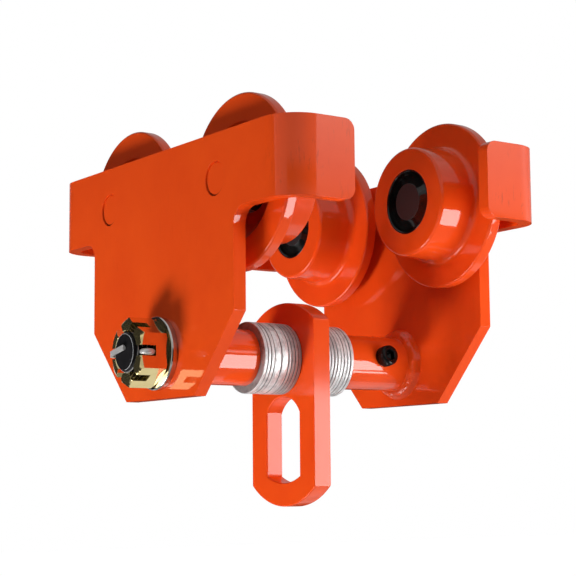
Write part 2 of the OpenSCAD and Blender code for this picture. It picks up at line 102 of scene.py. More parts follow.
def noise(tree, place, scale, detail, roughness, stretch=None):
    """Noise over the piece; stretch is how much longer its cells are along X, Y and Z."""
    if stretch:
        squeeze = tree.nodes.new("ShaderNodeVectorMath")
        squeeze.operation = "DIVIDE"
        squeeze.inputs[1].default_value = stretch
        tree.links.new(place, squeeze.inputs[0])
        place = squeeze.outputs[0]
    node = tree.nodes.new("ShaderNodeTexNoise")
    node.inputs["Scale"].default_value = scale
    node.inputs["Detail"].default_value = detail
    node.inputs["Roughness"].default_value = roughness
    tree.links.new(place, node.inputs["Vector"])
    return node.outputs["Fac"]


def math_node(tree, operation, *values):
    """One step of arithmetic on numbers or on the outputs of other nodes."""
    node = tree.nodes.new("ShaderNodeMath")
    node.operation = operation
    for socket, value in zip(node.inputs, values):
        if isinstance(value, (int, float)):
            socket.default_value = value
        else:
            tree.links.new(value, socket)
    return node.outputs[0]


def remap(tree, value, low, high, to_low, to_high):
    """Stretches the span from low to high over another span, and holds the ends beyond it."""
    node = tree.nodes.new("ShaderNodeMapRange")
    node.inputs["From Min"].default_value = low
    node.inputs["From Max"].default_value = high
    node.inputs["To Min"].default_value = to_low
    node.inputs["To Max"].default_value = to_high
    tree.links.new(value, node.inputs["Value"])
    return node.outputs["Result"]


def mix_colour(tree, factor, first, second):
    """The first colour where the factor is 0, and the second where it is 1."""
    node = tree.nodes.new("ShaderNodeMix")
    node.data_type = "RGBA"
    tree.links.new(factor, node.inputs["Factor"])
    for socket, value in ((node.inputs[6], first), (node.inputs[7], second)):
        if isinstance(value, tuple):
            socket.default_value = value
        else:
            tree.links.new(value, socket)
    return node.outputs[2]


def bump_from(tree, height, strength, distance):
    """The normal of a surface with a fine relief; distance is how high the relief would be."""
    node = tree.nodes.new("ShaderNodeBump")
    node.inputs["Strength"].default_value = strength
    node.inputs["Distance"].default_value = distance
    tree.links.new(height, node.inputs["Height"])
    return node.outputs["Normal"]


def place_on_piece(tree):
    """Coordinates that stay with the piece when its joint turns."""
    return tree.nodes.new("ShaderNodeTexCoord").outputs["Object"]


def axes_on_piece(tree):
    """The same coordinates one by one, as X, Y and Z."""
    split = tree.nodes.new("ShaderNodeSeparateXYZ")
    tree.links.new(place_on_piece(tree), split.inputs[0])
    return split.outputs


enamel_skin, skin_in, skin_out = new_group(
    "enamel_skin",
    [("Marks", 1.0)],
    [("Colour", "NodeSocketColor"), ("Roughness", "NodeSocketFloat"),
     ("Height", "NodeSocketFloat")],
)
skin_place = place_on_piece(enamel_skin)
skin_cloud = noise(enamel_skin, skin_place, 24, 4, 0.55)  # slow changes of colour and gloss
skin_peel = noise(enamel_skin, skin_place, 430, 2, 0.4)  # the orange peel
skin_grain = noise(enamel_skin, skin_place, 2200, 2, 0.5)  # the grain on top of it
skin_rub = noise(enamel_skin, skin_place, 340, 5, 0.7, (1, 1, 5))  # upright rubs
skin_patch = noise(enamel_skin, skin_place, 30, 2, 0.5)  # where such rubs gather
skin_dust = noise(enamel_skin, skin_place, 1500, 4, 0.7)  # specks
skin_end = math_node(enamel_skin, "ABSOLUTE", axes_on_piece(enamel_skin)["X"])
skin_end = remap(enamel_skin, skin_end, BEND_FROM, BEND_TO, 0.12, 1)
rub_here = math_node(enamel_skin, "MULTIPLY", remap(enamel_skin, skin_rub, 0.56, 0.66, 0, 1),
                     remap(enamel_skin, skin_patch, 0.44, 0.56, 0, 1))
rub_here = math_node(enamel_skin, "MULTIPLY", rub_here, skin_end)
dust_here = remap(enamel_skin, skin_dust, 0.66, 0.74, 0, 0.5)
skin_marks = math_node(enamel_skin, "MAXIMUM", rub_here, dust_here)
skin_marks = math_node(enamel_skin, "MULTIPLY", skin_marks, skin_in.outputs["Marks"])
skin_colour = mix_colour(enamel_skin, remap(enamel_skin, skin_cloud, 0.3, 0.7, 0, 0.5),
                         ENAMEL, ENAMEL_DEEP)
skin_colour = mix_colour(enamel_skin, math_node(enamel_skin, "MULTIPLY", skin_marks, 0.45),
                         skin_colour, ENAMEL_GRIME)
enamel_skin.links.new(skin_colour, skin_out.inputs["Colour"])
skin_rough = remap(enamel_skin, skin_cloud, 0.3, 0.75, 0.28, 0.38)
skin_rough = math_node(enamel_skin, "MULTIPLY_ADD", skin_marks, 0.3, skin_rough)
enamel_skin.links.new(skin_rough, skin_out.inputs["Roughness"])
skin_height = math_node(enamel_skin, "MULTIPLY_ADD", skin_grain, 0.12, skin_peel)
skin_height = math_node(enamel_skin, "MULTIPLY_ADD", skin_marks, 0.2, skin_height)
enamel_skin.links.new(skin_height, skin_out.inputs["Height"])


def new_material(name):
    """An empty node material: returns it, its tree and its surface shader."""
    material = bpy.data.materials.new(name)
    material.use_nodes = True
    return material, material.node_tree, material.node_tree.nodes["Principled BSDF"]


def put_group(tree, group, **values):
    """Sets a shader group into a tree. An underscore in a name stands for a space."""
    node = tree.nodes.new("ShaderNodeGroup")
    node.node_tree = group
    for label, value in values.items():
        node.inputs[label.replace("_", " ")].default_value = value
    return node


def enamel_material(name, peel, marks, coat, coat_roughness):
    """Enamel over steel. The peel is the depth of its skin, and the coat its outer gloss."""
    material, tree, surface = new_material(name)
    skin = put_group(tree, enamel_skin, Marks=marks)
    tree.links.new(skin.outputs["Colour"], surface.inputs["Base Color"])
    tree.links.new(skin.outputs["Roughness"], surface.inputs["Roughness"])
    normal = bump_from(tree, skin.outputs["Height"], 0.12 * peel, PEEL_DEPTH)
    tree.links.new(normal, surface.inputs["Normal"])
    surface.inputs["Coat Weight"].default_value = coat
    surface.inputs["Coat Roughness"].default_value = coat_roughness
    surface.inputs["IOR"].default_value = ENAMEL_IOR
    return material


def wear(piece, material):
    """Gives the whole piece one finish."""
    piece.data.materials.clear()
    piece.data.materials.append(material)


def round_edges(piece, width, steps=2):
    """Rounds the edges that a plain solid leaves sharp, and smooths the rest."""
    mesh = piece.data
    if "custom_normal" in mesh.attributes:
        mesh.attributes.remove(mesh.attributes["custom_normal"])
    mesh.polygons.foreach_set("use_smooth", [True] * len(mesh.polygons))
    weld = piece.modifiers.new("weld", "WELD")
    weld.merge_threshold = 0.002 * MM
    bevel = piece.modifiers.new("bevel", "BEVEL")
    bevel.width = width
    bevel.segments = steps
    bevel.limit_method = "ANGLE"
    bevel.angle_limit = math.radians(35)
    bevel.use_clamp_overlap = True
    level = piece.modifiers.new("level", "WEIGHTED_NORMAL")
    level.mode = "FACE_AREA"
    level.weight = 100
    level.thresh = 0.001


plate_enamel = enamel_material("plate_enamel", peel=1.0, marks=1.0, coat=PLATE_COAT,
                               coat_roughness=0.05)
# The trolley is laid down on the outer face of its far plate, which has dulled that face
plate_tree = plate_enamel.node_tree
plate_coat = remap(plate_tree, axes_on_piece(plate_tree)["Y"], FAR_FACE - 0.3 * MM, FAR_FACE,
                   PLATE_COAT, DULLED_COAT)
plate_tree.links.new(plate_coat, plate_tree.nodes["Principled BSDF"].inputs["Coat Weight"])
for side in ("near", "far"):
    plate = parts[f"{side}_side_plate"]
    wear(plate, plate_enamel)
    round_edges(plate, PLATE_EDGE)

# Sleeves. Steel tube, cut to length and welded all round to the inner face of its plate, then
# enamelled with it. The weld is laid in short ripples, and the enamel has run over them.
SHAFT_Z = -61.0 * MM
SLEEVE_R = 17.5 * MM
SLEEVE_EDGE = 0.4 * MM
PLATE_IN = 86.7 * MM
WELD_LEG = 5.5 * MM
WELD_BULGE = 1.15 * MM
WELD_RIPPLES = 96
sleeve_enamel = enamel_material("sleeve_enamel", peel=0.6, marks=0.4, coat=1.0, coat_roughness=0.04)
for side in ("near", "far"):
    sleeve = parts[f"{side}_sleeve"]
    wear(sleeve, sleeve_enamel)
    round_edges(sleeve, SLEEVE_EDGE)


def grid_piece(name, rows, closed_ends=False):
    """A closed band of rows of points. Each row goes once round, and rows join in order."""
    count = len(rows[0])
    points = [point for row in rows for point in row]
    faces = []
    for row in range(len(rows) - 1):
        for column in range(count):
            after = (column + 1) % count
            faces.append((row * count + column, row * count + after,
                          (row + 1) * count + after, (row + 1) * count + column))
    if closed_ends:
        faces.append(tuple(reversed(range(count))))
        faces.append(tuple(range((len(rows) - 1) * count, len(rows) * count)))
    mesh = bpy.data.meshes.new(name)
    mesh.from_pydata(points, [], faces)
    shell = bmesh.new()
    shell.from_mesh(mesh)
    bmesh.ops.remove_doubles(shell, verts=shell.verts, dist=0.001 * MM)
    bmesh.ops.recalc_face_normals(shell, faces=shell.faces)
    shell.to_mesh(mesh)
    shell.free()
    mesh.polygons.foreach_set("use_smooth", [True] * len(mesh.polygons))
    mesh.set_sharp_from_angle(angle=math.radians(38))
    piece = bpy.data.objects.new(name, mesh)
    scene.collection.objects.link(piece)
    return piece


def weld_bead(side, sign):
    """The bead bulges between its toes. It has fine curved ripples, and lumps here and there."""
    around, across = 420, 12
    rows = []
    for step in range(across + 1):
        share = step / across
        row = []
        for turn in range(around):
            angle = 2 * math.pi * turn / around
            ripple = 0.5 + 0.5 * math.sin(WELD_RIPPLES * angle - 3.0 * math.sin(math.pi * share))
            lump = math.sin(7 * angle + 1.3) * math.sin(3 * angle)
            lump += 0.6 * math.sin(17 * angle + 0.4)
            height = WELD_BULGE + (0.10 * ripple + 0.34 * lump) * MM
            bulge = height * math.sin(math.pi * share)
            toe = 0.35 * MM * (2 * share - 1) * (1 + 0.4 * lump)
            radius = SLEEVE_R + WELD_LEG * share + bulge * math.sqrt(0.5) + toe
            along = PLATE_IN - WELD_LEG * (1 - share) - bulge * math.sqrt(0.5) + toe
            row.append((radius * math.cos(angle), sign * along, SHAFT_Z + radius * math.sin(angle)))
        rows.append(row if sign > 0 else list(reversed(row)))
    bead = grid_piece(f"{side}_weld_bead", rows)
    wear(bead, sleeve_enamel)
    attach(bead, "frame")


weld_bead("near", -1)
weld_bead("far", 1)

# Hanger plate. A 12 mm forged and trimmed plate that swings on the shaft between the spacers,
# enamelled on its own. Its slot takes the hook of the hoist.
HANGER_EDGE = 0.9 * MM
hanger_enamel = enamel_material("hanger_enamel", peel=1.1, marks=0.7, coat=0.62,
                                coat_roughness=0.06)
wear(parts["hanger_plate"], hanger_enamel)
round_edges(parts["hanger_plate"], HANGER_EDGE, steps=3)

# Wheels. Cast steel, turned on the tread, the flange and the face, and enamelled all over. The
# cutter's rings show faintly through the enamel.
AXLE_X = 62.3 * MM
AXLE_Z = 34.5 * MM
AXLE_AXIS = (AXLE_X, AXLE_Z)
WHEEL_EDGE = 0.45 * MM

# A turned surface: the cutter's rings about an axis that runs along Y. The two halves of the
# trolley are alike along X, so one axis serves both. Radius is the distance from that axis, and
# Depth the distance from the middle of the trolley along Y.
turned_rings, rings_in, rings_out = new_group(
    "turned_rings",
    [("Axis X", 0.0), ("Axis Z", 0.0), ("Fineness", 3000.0)],
    [("Height", "NodeSocketFloat"), ("Radius", "NodeSocketFloat"), ("Depth", "NodeSocketFloat")],
)
rings_axes = axes_on_piece(turned_rings)
rings_x = math_node(turned_rings, "ABSOLUTE", rings_axes["X"])
rings_x = math_node(turned_rings, "SUBTRACT", rings_x, rings_in.outputs["Axis X"])
rings_z = math_node(turned_rings, "SUBTRACT", rings_axes["Z"], rings_in.outputs["Axis Z"])
rings_radius = math_node(turned_rings, "SQRT", math_node(
    turned_rings, "ADD", math_node(turned_rings, "MULTIPLY", rings_x, rings_x),
    math_node(turned_rings, "MULTIPLY", rings_z, rings_z)))
rings_depth = math_node(turned_rings, "ABSOLUTE", rings_axes["Y"])
ring_heights = []
for reach in (rings_radius, rings_depth):
    ring_noise = turned_rings.nodes.new("ShaderNodeTexNoise")
    ring_noise.noise_dimensions = "1D"
    ring_noise.inputs["Detail"].default_value = 3.0
    ring_noise.inputs["Scale"].default_value = 1.0
    turned_rings.links.new(math_node(turned_rings, "MULTIPLY", reach, rings_in.outputs["Fineness"]),
                           ring_noise.inputs["W"])
    ring_heights.append(ring_noise.outputs["Fac"])
turned_rings.links.new(math_node(turned_rings, "ADD", *ring_heights), rings_out.inputs["Height"])
turned_rings.links.new(rings_radius, rings_out.inputs["Radius"])
turned_rings.links.new(rings_depth, rings_out.inputs["Depth"])


def rings_about(tree, axis, fineness):
    """What the group puts out for an axis that is given by its X and Z."""
    return put_group(tree, turned_rings, Axis_X=axis[0], Axis_Z=axis[1], Fineness=fineness).outputs


wheel_enamel = enamel_material("wheel_enamel", peel=0.7, marks=0.5, coat=0.9, coat_roughness=0.05)
wheel_tree = wheel_enamel.node_tree
wheel_surface = wheel_tree.nodes["Principled BSDF"]
wheel_rings = rings_about(wheel_tree, AXLE_AXIS, 1600)
wheel_normal = bump_from(wheel_tree, wheel_rings["Height"], 0.05, 0.2 * MM)
# The enamel's own skin lies over the cutter's rings
skin_bump = wheel_surface.inputs["Normal"].links[0].from_node
wheel_tree.links.new(wheel_normal, skin_bump.inputs["Normal"])
corners = ("near_left", "near_right", "far_left", "far_right")
for corner in corners:
    wear(parts[f"wheel_{corner}"], wheel_enamel)
    round_edges(parts[f"wheel_{corner}"], WHEEL_EDGE)

# Axles. Turned steel, pressed into the plate from inside and enamelled with it. The enamel ends
# behind the bearing, and the steel is bare and bright from there on. The rim of the shallow
# recess that the axle's end leaves in the plate is darkened towards the bottom as painted shade.
SPIGOT_R = 10.0 * MM
AXLE_EDGE = 0.2 * MM
ENAMEL_TO = 77.0 * MM
BARE_FROM = 76.5 * MM
BARE_STEEL = (0.60, 0.60, 0.61, 1)
RECESS_SHADE = (0.10, 0.002, 0.001, 1)
axle_finish, axle_tree, axle_surface = new_material("axle_finish")
axle_axes = axes_on_piece(axle_tree)
axle_skin = put_group(axle_tree, enamel_skin, Marks=0.8)
axle_rings = rings_about(axle_tree, AXLE_AXIS, 5200)
bare = remap(axle_tree, axle_rings["Depth"], ENAMEL_TO, BARE_FROM, 0, 1)
# Painted shade: a dark colour on the lower part of the recess's rim
at_rim = remap(axle_tree, axle_rings["Radius"], SPIGOT_R - 1.3 * MM, SPIGOT_R - 0.6 * MM, 0, 0.95)
at_end = remap(axle_tree, axle_rings["Depth"], PLATE_IN, PLATE_IN + 1 * MM, 0, 1)
low_down = remap(axle_tree, axle_axes["Z"], AXLE_Z + 6 * MM, AXLE_Z - 3 * MM, 0, 1)
recess_shade = math_node(axle_tree, "MULTIPLY", math_node(axle_tree, "MULTIPLY", at_rim, at_end), low_down)
axle_colour = mix_colour(axle_tree, recess_shade, axle_skin.outputs["Colour"], RECESS_SHADE)
axle_tree.links.new(mix_colour(axle_tree, bare, axle_colour, BARE_STEEL),
                    axle_surface.inputs["Base Color"])
axle_tree.links.new(bare, axle_surface.inputs["Metallic"])
axle_coat = remap(axle_tree, axle_axes["Y"], FAR_FACE - 1.5 * MM, FAR_FACE - 1 * MM,
                  PLATE_COAT, DULLED_COAT)
axle_coat = math_node(axle_tree, "MULTIPLY", axle_coat, remap(axle_tree, bare, 0, 1, 1, 0))
axle_tree.links.new(axle_coat, axle_surface.inputs["Coat Weight"])
axle_rough = math_node(axle_tree, "MULTIPLY_ADD", bare, -0.12, axle_skin.outputs["Roughness"])
axle_tree.links.new(axle_rough, axle_surface.inputs["Roughness"])
axle_height = math_node(axle_tree, "MULTIPLY", bare, axle_rings["Height"])
axle_height = math_node(axle_tree, "MULTIPLY_ADD", axle_height, 0.4, axle_skin.outputs["Height"])
axle_tree.links.new(bump_from(axle_tree, axle_height, 0.12, PEEL_DEPTH),
                    axle_surface.inputs["Normal"])
axle_surface.inputs["Coat Roughness"].default_value = 0.05
axle_surface.inputs["IOR"].default_value = ENAMEL_IOR
for corner in corners:
    wear(parts[f"axle_{corner}"], axle_finish)
    round_edges(parts[f"axle_{corner}"], AXLE_EDGE)

# Wheel bearings. Ground steel races, polished balls, a pressed cage, and black rubber seals with
# fine ribs. A spring ring holds the bearing on the axle, and another in the wheel.


def turned_metal(name, colour, tarnish, roughness, axis, fineness, relief, metallic=1.0):
    """Bare or plated steel with the cutter's rings, a cloudy tarnish and fine dull spots."""
    material, tree, surface = new_material(name)
    place = place_on_piece(tree)
    cloud = noise(tree, place, 90, 5, 0.6)
    spots = noise(tree, place, 1400, 3, 0.6)
    rings = rings_about(tree, axis, fineness)
    surface.inputs["Metallic"].default_value = metallic
    tree.links.new(mix_colour(tree, remap(tree, cloud, 0.35, 0.7, 0, 1), colour, tarnish),
                   surface.inputs["Base Color"])
    rough = remap(tree, cloud, 0.3, 0.7, roughness * 0.8, roughness * 1.25)
    rough = math_node(tree, "ADD", rough, remap(tree, spots, 0.55, 0.75, 0, roughness * 0.6))
    tree.links.new(rough, surface.inputs["Roughness"])
    tree.links.new(bump_from(tree, rings["Height"], relief, 0.08 * MM), surface.inputs["Normal"])
    return material


RACE_EDGE = 0.25 * MM
RUBBER = (0.010, 0.010, 0.011, 1)
RUBBER_DUST = (0.055, 0.050, 0.045, 1)
race_steel = turned_metal("race_steel", (0.63, 0.64, 0.66, 1), (0.52, 0.52, 0.53, 1),
                          roughness=0.12, axis=AXLE_AXIS, fineness=9000, relief=0.05)
cage_steel = turned_metal("cage_steel", (0.50, 0.49, 0.46, 1), (0.38, 0.37, 0.35, 1),
                          roughness=0.34, axis=AXLE_AXIS, fineness=2500, relief=0.04)
spring_steel = turned_metal("spring_steel", (0.10, 0.10, 0.11, 1), (0.06, 0.055, 0.05, 1),
                            roughness=0.36, axis=AXLE_AXIS, fineness=3500, relief=0.05)
seal_rubber, seal_tree, seal_surface = new_material("seal_rubber")
seal_rings = rings_about(seal_tree, AXLE_AXIS, 1500)
seal_dust = noise(seal_tree, place_on_piece(seal_tree), 700, 5, 0.7)
seal_tree.links.new(mix_colour(seal_tree, remap(seal_tree, seal_dust, 0.5, 0.75, 0, 0.5),
                               RUBBER, RUBBER_DUST),
                    seal_surface.inputs["Base Color"])
seal_tree.links.new(remap(seal_tree, seal_dust, 0.4, 0.7, 0.5, 0.75),
                    seal_surface.inputs["Roughness"])
seal_tree.links.new(bump_from(seal_tree, seal_rings["Height"], 0.3, 0.15 * MM),
                    seal_surface.inputs["Normal"])
for corner in corners:
    for name in ("outer_race", "inner_race"):
        wear(parts[f"{name}_{corner}"], race_steel)
        round_edges(parts[f"{name}_{corner}"], RACE_EDGE)
    wear(parts[f"ball_set_{corner}"], race_steel)
    wear(parts[f"ball_cage_{corner}"], cage_steel)
    wear(parts[f"bearing_seals_{corner}"], seal_rubber)
    for name in ("axle_circlip", "bore_circlip"):
        wear(parts[f"{name}_{corner}"], spring_steel)

# Dust caps. Black mouldings pressed into the mouth of each wheel's bore, glossy but for the
# flat disc in the middle. The mould shows as faint rings, and a little dust lies on them.
CAP_DISC_R = 11.7 * MM
CAP_EDGE = 0.15 * MM
CAP_BLACK = (0.005, 0.0045, 0.0045, 1)
CAP_MATT = (0.026, 0.022, 0.024, 1)
CAP_DUST = (0.06, 0.052, 0.048, 1)
cap_plastic, cap_tree, cap_surface = new_material("cap_plastic")
cap_rings = rings_about(cap_tree, AXLE_AXIS, 1300)
cap_dust = noise(cap_tree, place_on_piece(cap_tree), 1100, 5, 0.75)
cap_centre = remap(cap_tree, cap_rings["Radius"], CAP_DISC_R - 0.3 * MM, CAP_DISC_R, 1, 0)
cap_colour = mix_colour(cap_tree, cap_centre, CAP_BLACK, CAP_MATT)
cap_colour = mix_colour(cap_tree, remap(cap_tree, cap_dust, 0.55, 0.8, 0, 0.35),
                        cap_colour, CAP_DUST)
cap_tree.links.new(cap_colour, cap_surface.inputs["Base Color"])
cap_rough = remap(cap_tree, cap_dust, 0.4, 0.75, 0.06, 0.16)
cap_tree.links.new(math_node(cap_tree, "MULTIPLY_ADD", cap_centre, 0.25, cap_rough),
                   cap_surface.inputs["Roughness"])
cap_tree.links.new(bump_from(cap_tree, cap_rings["Height"], 0.06, 0.1 * MM),
                   cap_surface.inputs["Normal"])
for corner in corners:
    wear(parts[f"dust_cap_{corner}"], cap_plastic)
    round_edges(parts[f"dust_cap_{corner}"], CAP_EDGE)

# Load shaft. A blackened 24 mm bar: the thread for the castle nut is rolled on its near end,
# which is cross-drilled for the split pin. The stopper screw goes into it at the far end.
SHAFT_R = 12.0 * MM
SHAFT_AXIS = (0, SHAFT_Z)
THREAD_PITCH = 3.0 * MM
THREAD_DEPTH = 1.75 * MM
SHAFT_NEAR = -118.4 * MM
SHAFT_FAR = 96.7 * MM
THREAD_LEN = 30.0 * MM
PIN_AT = -112.3 * MM
PIN_HOLE_R = 2.6 * MM
SCREW_AT = 61.5 * MM
SCREW_TILT = math.radians(9.5)
SCREW_TIP = 6.5 * MM
SCREW_HOLE_R = 4.1 * MM
SHAFT_CHAMFER = 1.2 * MM
END_BEVEL = 0.15 * MM
SHAFT_STEPS = 96
OXIDE = (0.007, 0.007, 0.008, 1)
OXIDE_CLOUD = (0.014, 0.013, 0.014, 1)
WORN_STEEL_AND_HIGHLIGHT = (0.42, 0.42, 0.43, 1)
# The thread's section: the share of its depth below the crest, from one crest to the next
thread_form = [0.0, 0.0, 0.13, 0.26, 0.39, 0.52, 0.65, 0.78, 0.90, 0.97, 1.0, 1.0,
               1.0, 0.97, 0.90, 0.78, 0.65, 0.52, 0.39, 0.26, 0.13, 0.0, 0.0, 0.0]
row_step = THREAD_PITCH / len(thread_form)


def shaft_ring(y, radii):
    """One ring of points about the shaft's centre line, with a radius for each point."""
    ring = []
    for column, radius in enumerate(radii):
        angle = 2 * math.pi * column / len(radii)
        ring.append((radius * math.cos(angle), y, SHAFT_Z + radius * math.sin(angle)))
    return ring


def thread_radius(row_at, column):
    """The thread's surface, bevelled at the shaft's end and run out where the thread ends."""
    along = row_at * row_step
    run_out = min(1.0, (THREAD_LEN - along) / THREAD_PITCH)
    form_at = (row_at - column * len(thread_form) / SHAFT_STEPS) % len(thread_form)
    before, share = int(form_at), form_at - int(form_at)
    low, high = thread_form[before], thread_form[(before + 1) % len(thread_form)]
    surface = SHAFT_R - THREAD_DEPTH * run_out * (low + (high - low) * share)
    return min(surface, SHAFT_R - SHAFT_CHAMFER + along)


shaft_rows = [shaft_ring(SHAFT_NEAR, [SHAFT_R - SHAFT_CHAMFER - END_BEVEL] * SHAFT_STEPS)]
for row_at in range(1, int(THREAD_LEN / row_step)):
    radii = [thread_radius(row_at, column) for column in range(SHAFT_STEPS)]
    shaft_rows.append(shaft_ring(SHAFT_NEAR + row_at * row_step, radii))
for y, radius in ((SHAFT_NEAR + THREAD_LEN, SHAFT_R), (SHAFT_FAR - SHAFT_CHAMFER, SHAFT_R),
                  (SHAFT_FAR, SHAFT_R - SHAFT_CHAMFER)):
    shaft_rows.append(shaft_ring(y, [radius] * SHAFT_STEPS))
shaft = grid_piece("threaded_shaft", shaft_rows, closed_ends=True)


def drill(piece, name, place, direction, radius, length):
    """Bores a round hole through a piece, and keeps the result as its mesh."""
    turn = Vector(direction).to_track_quat("Z", "Y")
    around = 48
    rows = []
    for end in (0, length):
        angles = [2 * math.pi * step / around for step in range(around)]
        rows.append([Vector(place) + turn @ Vector((radius * math.cos(angle),
                                                    radius * math.sin(angle), end))
                     for angle in angles])
    bit = grid_piece(name, rows, closed_ends=True)
    cut = piece.modifiers.new("cut", "BOOLEAN")
    cut.operation = "DIFFERENCE"
    cut.solver = "EXACT"
    cut.object = bit
    bpy.context.view_layer.update()
    cut_piece = piece.evaluated_get(bpy.context.evaluated_depsgraph_get())
    bored = bpy.data.meshes.new_from_object(cut_piece)
    piece.modifiers.clear()
    piece.data = bored
    bpy.data.objects.remove(bit)


drill(shaft, "pin_drill", (-20 * MM, PIN_AT, SHAFT_Z), (1, 0, 0), PIN_HOLE_R, 40 * MM)
screw_axis = Vector((math.cos(SCREW_TILT), 0, math.sin(SCREW_TILT)))
screw_foot = Vector((0, SCREW_AT, SHAFT_Z))
drill(shaft, "screw_drill", screw_foot + screw_axis * SCREW_TIP, screw_axis,
      SCREW_HOLE_R, 12 * MM)
black_oxide, oxide_tree, oxide_surface = new_material("black_oxide")
oxide_rings = rings_about(oxide_tree, SHAFT_AXIS, 3600)
oxide_cloud = noise(oxide_tree, place_on_piece(oxide_tree), 260, 5, 0.6)
oxide_black = mix_colour(oxide_tree, remap(oxide_tree, oxide_cloud, 0.35, 0.7, 0, 1),
                         OXIDE, OXIDE_CLOUD)
# Pale worn steel on the sharp ring round the end face and on the thread's crests; on that ring it
# is partly a painted highlight
end_ring_highlight = math_node(oxide_tree, "SUBTRACT", oxide_rings["Radius"],
                     SHAFT_R - SHAFT_CHAMFER - 0.07 * MM)
end_ring_highlight = math_node(oxide_tree, "ABSOLUTE", end_ring_highlight)
end_ring_highlight = remap(oxide_tree, end_ring_highlight, 0.12 * MM, 0.2 * MM, 1, 0)
end_face = remap(oxide_tree, oxide_rings["Depth"],
                 -SHAFT_NEAR - 0.6 * MM, -SHAFT_NEAR - 0.4 * MM, 0, 1)
crests = remap(oxide_tree, oxide_rings["Radius"], SHAFT_R - 0.5 * MM, SHAFT_R - 0.1 * MM, 0, 0.6)
oxide_worn_and_highlight = math_node(oxide_tree, "MAXIMUM",
                       math_node(oxide_tree, "MULTIPLY", end_ring_highlight, end_face), crests)
oxide_tree.links.new(mix_colour(oxide_tree, oxide_worn_and_highlight, oxide_black, WORN_STEEL_AND_HIGHLIGHT),
                     oxide_surface.inputs["Base Color"])
oxide_tree.links.new(remap(oxide_tree, oxide_cloud, 0.3, 0.7, 0.42, 0.55),
                     oxide_surface.inputs["Roughness"])
oxide_surface.inputs["IOR"].default_value = 1.3
oxide_tree.links.new(bump_from(oxide_tree, oxide_rings["Height"], 0.14, 0.1 * MM),
                     oxide_surface.inputs["Normal"])
wear(shaft, black_oxide)
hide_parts("load_shaft")
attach(shaft, "frame")

# Stopper screw. A blackened M8 socket screw with a knurled head, screwed through the far sleeve
# into the shaft so that the shaft can't turn.
HEAD_R = 6.5 * MM
HEAD_FOOT = 16.648 * MM
HEAD_TOP = 24.648 * MM
SOCKET_FLATS = 6.0 * MM
SOCKET_DEPTH = 4.0 * MM
SCREW_R = 4.0 * MM
KNURL_DEPTH = 0.34 * MM
KNURLS = 44
KNURL_STEPS = 6
SCREW_BLACK = (0.003, 0.003, 0.003, 1)
SCREW_CLOUD = (0.006, 0.005, 0.005, 1)
screw_turn = screw_axis.to_track_quat("Z", "Y")


def knurl(angle):
    """The head's side, with fine ridges along the screw."""
    return HEAD_R - KNURL_DEPTH * abs(math.sin(KNURLS * angle / 2)) ** 1.5


def hexagon(angle):
    """The socket for the key."""
    return SOCKET_FLATS / 2 / math.cos((angle + math.pi / 6) % (math.pi / 3) - math.pi / 6)


def socket_mouth(angle):
    """The bevel that leads the key into the socket."""
    return hexagon(angle) + 0.55 * MM


def screw_ring(radius_at, height):
    """One ring of points round the screw; the radius may depend on the angle."""
    ring = []
    for step in range(KNURLS * KNURL_STEPS):
        angle = 2 * math.pi * step / (KNURLS * KNURL_STEPS)
        radius = radius_at(angle) if callable(radius_at) else radius_at
        ring.append(screw_foot + screw_turn @ Vector(
            (radius * math.cos(angle), radius * math.sin(angle), height)))
    return ring


# From the tip over the shank, the head and its rounded rim into the socket
screw_profile = [
    (3.4 * MM, SCREW_TIP), (SCREW_R, SCREW_TIP + 0.6 * MM), (SCREW_R, HEAD_FOOT),
    (HEAD_R - 0.5 * MM, HEAD_FOOT), (HEAD_R - 0.36 * MM, HEAD_FOOT + 0.2 * MM),
    (knurl, HEAD_FOOT + 0.8 * MM), (knurl, HEAD_TOP - 1.3 * MM),
    (HEAD_R - 0.4 * MM, HEAD_TOP - 0.75 * MM), (HEAD_R - 0.75 * MM, HEAD_TOP - 0.22 * MM),
    (HEAD_R - 1.2 * MM, HEAD_TOP), (socket_mouth, HEAD_TOP),
    (hexagon, HEAD_TOP - 0.5 * MM), (hexagon, HEAD_TOP - SOCKET_DEPTH),
    (0.5 * MM, HEAD_TOP - SOCKET_DEPTH - 1.2 * MM),
]
screw_rows = [screw_ring(radius_at, height) for radius_at, height in screw_profile]
screw = grid_piece("knurled_screw", screw_rows, closed_ends=True)
screw_black, screw_tree, screw_surface = new_material("screw_black")
screw_cloud = noise(screw_tree, place_on_piece(screw_tree), 900, 5, 0.7)
screw_tree.links.new(mix_colour(screw_tree, remap(screw_tree, screw_cloud, 0.4, 0.7, 0, 1),
                                SCREW_BLACK, SCREW_CLOUD),
                     screw_surface.inputs["Base Color"])
screw_tree.links.new(remap(screw_tree, screw_cloud, 0.3, 0.7, 0.06, 0.16),
                     screw_surface.inputs["Roughness"])
screw_tree.links.new(bump_from(screw_tree, screw_cloud, 0.2, 0.1 * MM),
                     screw_surface.inputs["Normal"])
screw_surface.inputs["IOR"].default_value = 1.35
wear(screw, screw_black)
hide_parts("stopper_screw")
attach(screw, "frame")

